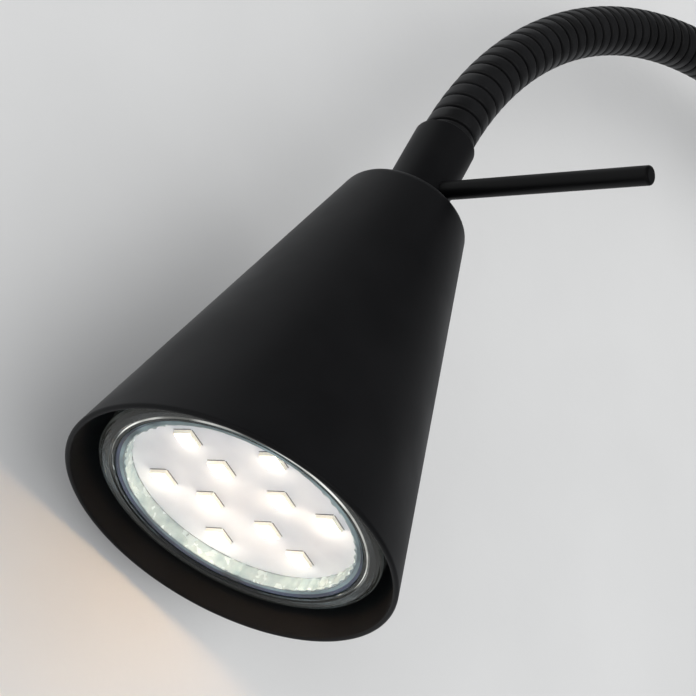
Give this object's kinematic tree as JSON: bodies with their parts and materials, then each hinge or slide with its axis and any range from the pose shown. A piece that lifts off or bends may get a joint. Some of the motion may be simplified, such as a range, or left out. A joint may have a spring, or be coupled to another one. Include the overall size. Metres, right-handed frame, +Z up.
{
  "type": "wall spotlight",
  "caption": "Wall-mounted spotlight with a round switched base, a bendable ribbed swan neck, a cone shade with a handle rod and a recessed LED reflector lamp.",
  "frame": {"origin": "middle of the back of the wall base, on the wall", "axes": "+Z up, +Y into the wall, +X to the right as seen from the room; the neck leans to -X"},
  "size_m": [0.2926, 0.0749, 0.2012],
  "materials": {
    "coated_steel": "matt black powder coat",
    "neck_steel": "matt black wound steel",
    "zinc_steel": "zinc plated",
    "brass": "drawn brass",
    "nickel": "nickel plated",
    "nylon": "moulded, natural",
    "switch_black": "moulded, satin",
    "steatite": "fired ceramic",
    "lamp_white": "moulded, white",
    "lamp_glass": "clear pressed glass",
    "board_white": "white solder resist",
    "led_phosphor": "lit phosphor",
    "driver_green": "circuit board",
    "flex_black": "PVC sheath",
    "lead_brown": "PVC insulation",
    "lead_blue": "PVC insulation",
    "lead_earth": "PVC insulation",
    "lead_black": "silicone insulation"
  },
  "bodies": {
    "base": {"back_plate": "zinc_steel", "base_cover": "coated_steel", "cover_screws": "coated_steel", "base_ferrule": "coated_steel", "base_nipple": "zinc_steel", "base_washer": "zinc_steel", "base_nut": "zinc_steel", "terminal_block": "nylon", "terminal_tubes": "brass", "terminal_screws": "zinc_steel", "terminal_fixing_screws": "zinc_steel", "earth_washer": "brass", "earth_screw": "brass", "switch_housing": "switch_black", "switch_tabs": "brass", "switched_lead": "lead_black", "neutral_lead": "lead_blue", "live_lead": "lead_brown", "earth_lead": "lead_earth", "neck_cable": "flex_black", "neck_link_01": "neck_steel"},
    "rocker": {"switch_rocker": "switch_black"},
    "neck_02": {"neck_link_02": "neck_steel"},
    "neck_03": {"neck_link_03": "neck_steel"},
    "neck_04": {"neck_link_04": "neck_steel"},
    "neck_05": {"neck_link_05": "neck_steel"},
    "neck_06": {"neck_link_06": "neck_steel"},
    "neck_07": {"neck_link_07": "neck_steel"},
    "neck_08": {"neck_link_08": "neck_steel"},
    "neck_09": {"neck_link_09": "neck_steel"},
    "neck_10": {"neck_link_10": "neck_steel"},
    "neck_11": {"neck_link_11": "neck_steel"},
    "neck_12": {"neck_link_12": "neck_steel"},
    "neck_13": {"neck_link_13": "neck_steel"},
    "head": {"neck_link_14": "neck_steel", "head_collar": "coated_steel", "handle_rod": "coated_steel", "head_nipple": "zinc_steel", "head_washer": "zinc_steel", "head_nut": "zinc_steel", "shade": "coated_steel", "holder_bracket": "zinc_steel", "lamp_holder": "steatite", "holder_screws": "zinc_steel", "holder_contacts": "brass", "head_leads": "lead_black"},
    "lamp": {"lamp_base": "lamp_white", "lamp_pins": "nickel", "lamp_driver": "driver_green", "lamp_glass": "lamp_glass", "front_glass": "lamp_glass", "led_board": "board_white", "led_chips": "led_phosphor"}
  },
  "joints": [
    {"name": "neck_bend_1", "type": "hinge", "parent": "base", "child": "neck_02", "pos_m": [-0.00139, -0.01412, 0.07632], "axis": [-0.0872, 0.9962, 0], "range_deg": [-4, 10], "deforming": ["neck_cable"]},
    {"name": "neck_swing_1", "type": "hinge", "parent": "neck_02", "child": "neck_03", "pos_m": [-0.00553, -0.01448, 0.09216], "axis": [0.9386, 0.0821, 0.335], "range_deg": [0, 14]},
    {"name": "neck_bend_2", "type": "hinge", "parent": "neck_03", "child": "neck_04", "pos_m": [-0.01228, -0.01507, 0.10706], "axis": [-0.0872, 0.9962, 0], "range_deg": [-4, 10]},
    {"name": "neck_swing_2", "type": "hinge", "parent": "neck_04", "child": "neck_05", "pos_m": [-0.02146, -0.01588, 0.1206], "axis": [0.7726, 0.0676, 0.6313], "range_deg": [0, 14]},
    {"name": "neck_bend_3", "type": "hinge", "parent": "neck_05", "child": "neck_06", "pos_m": [-0.0328, -0.01687, 0.13237], "axis": [-0.0872, 0.9962, 0], "range_deg": [-4, 10]},
    {"name": "neck_swing_3", "type": "hinge", "parent": "neck_06", "child": "neck_07", "pos_m": [-0.04597, -0.01802, 0.14204], "axis": [0.5173, 0.0453, 0.8546], "range_deg": [0, 14]},
    {"name": "neck_bend_4", "type": "hinge", "parent": "neck_07", "child": "neck_08", "pos_m": [-0.06058, -0.0193, 0.14932], "axis": [-0.0872, 0.9962, 0], "range_deg": [-4, 10]},
    {"name": "neck_swing_4", "type": "hinge", "parent": "neck_08", "child": "neck_09", "pos_m": [-0.07622, -0.02067, 0.154], "axis": [0.2023, 0.0177, 0.9792], "range_deg": [0, 14]},
    {"name": "neck_bend_5", "type": "hinge", "parent": "neck_09", "child": "neck_10", "pos_m": [-0.09242, -0.02209, 0.15595], "axis": [-0.0872, 0.9962, 0], "range_deg": [-4, 10]},
    {"name": "neck_swing_5", "type": "hinge", "parent": "neck_10", "child": "neck_11", "pos_m": [-0.10871, -0.02351, 0.1551], "axis": [-0.1362, -0.0119, 0.9906], "range_deg": [0, 14]},
    {"name": "neck_bend_6", "type": "hinge", "parent": "neck_11", "child": "neck_12", "pos_m": [-0.12462, -0.0249, 0.15148], "axis": [-0.0872, 0.9962, 0], "range_deg": [-4, 10]},
    {"name": "neck_swing_6", "type": "hinge", "parent": "neck_12", "child": "neck_13", "pos_m": [-0.13969, -0.02622, 0.14521], "axis": [-0.4589, -0.0401, 0.8876], "range_deg": [0, 14]},
    {"name": "neck_bend_7", "type": "hinge", "parent": "neck_13", "child": "head", "pos_m": [-0.15347, -0.02743, 0.13645], "axis": [-0.0872, 0.9962, 0], "range_deg": [-4, 10]},
    {"name": "lamp_twist", "type": "hinge", "parent": "head", "child": "lamp", "pos_m": [-0.1794, -0.0297, 0.11059], "axis": [-0.6794, -0.0594, -0.7314], "range_deg": [0, 45]},
    {"name": "rocker_tilt", "type": "hinge", "parent": "base", "child": "rocker", "pos_m": [0, -0.0275, 0], "axis": [-1, 0, 0], "range_deg": [0, 20]}
  ]
}
